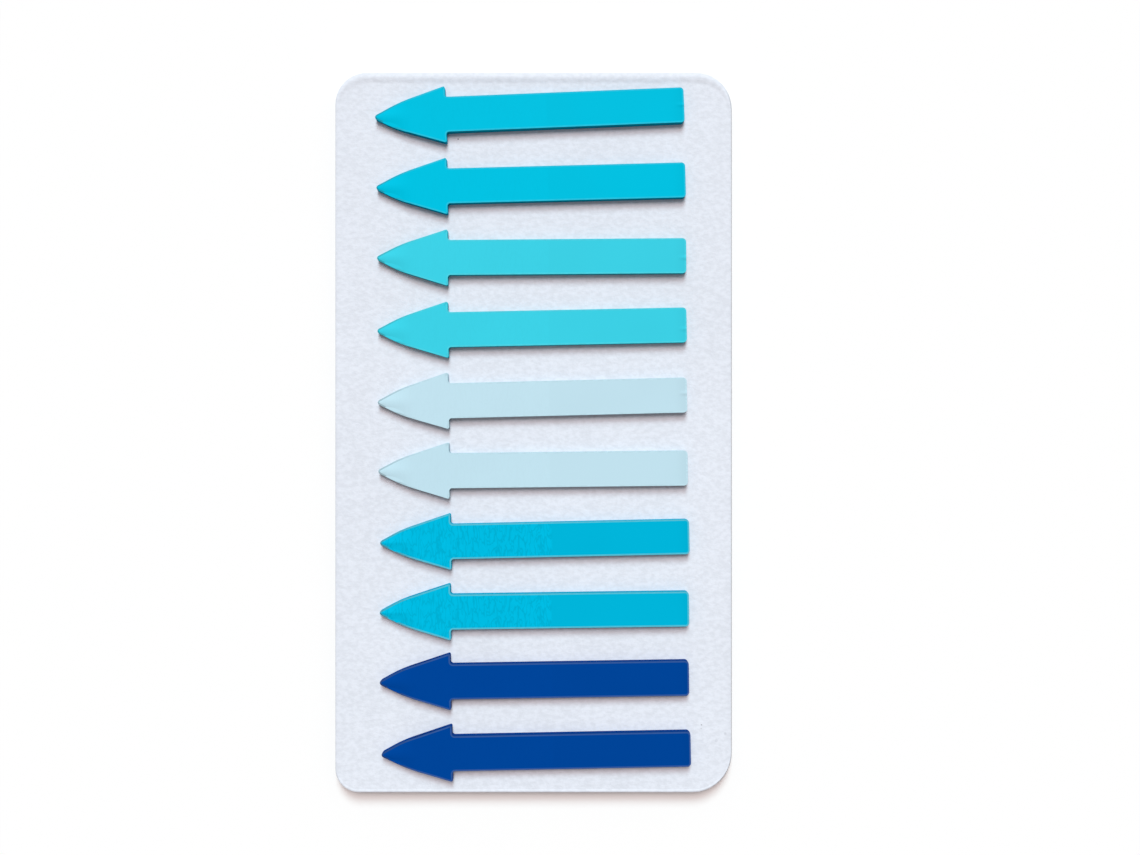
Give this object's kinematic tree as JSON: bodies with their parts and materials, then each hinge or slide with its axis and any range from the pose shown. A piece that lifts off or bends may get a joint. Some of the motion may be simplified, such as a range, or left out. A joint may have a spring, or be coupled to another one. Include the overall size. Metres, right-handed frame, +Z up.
{
  "type": "sticky index tab set on a backing card",
  "caption": "Pads of arrow-shaped sticky film flags in a column on one round-cornered white backing card.",
  "frame": {"origin": "middle of the backing card's underside, the face that it lies on", "axes": "+Z up out of the card's face, +Y along the card's length towards the first pad, +X from the arrow tips to the tails"},
  "size_m": [0.0578, 0.1048, 0.0032],
  "materials": {
    "backing_card": "coated white board with a fine pressed grain",
    "pad_bright_cyan": "satin film, bright cyan",
    "pad_aqua": "satin film, aqua",
    "pad_pale_blue": "satin film, pale blue",
    "pad_cerulean": "satin film, cerulean",
    "pad_royal_blue": "satin film, royal blue"
  },
  "bodies": {
    "root": {"backing_card": "backing_card", "arrow_pad_01": "pad_bright_cyan", "arrow_pad_02": "pad_bright_cyan", "arrow_pad_03": "pad_aqua", "arrow_pad_04": "pad_aqua", "arrow_pad_05": "pad_pale_blue", "arrow_pad_06": "pad_pale_blue", "arrow_pad_07": "pad_cerulean", "arrow_pad_08": "pad_cerulean", "arrow_pad_09": "pad_royal_blue", "arrow_pad_10": "pad_royal_blue"}
  },
  "joints": []
}
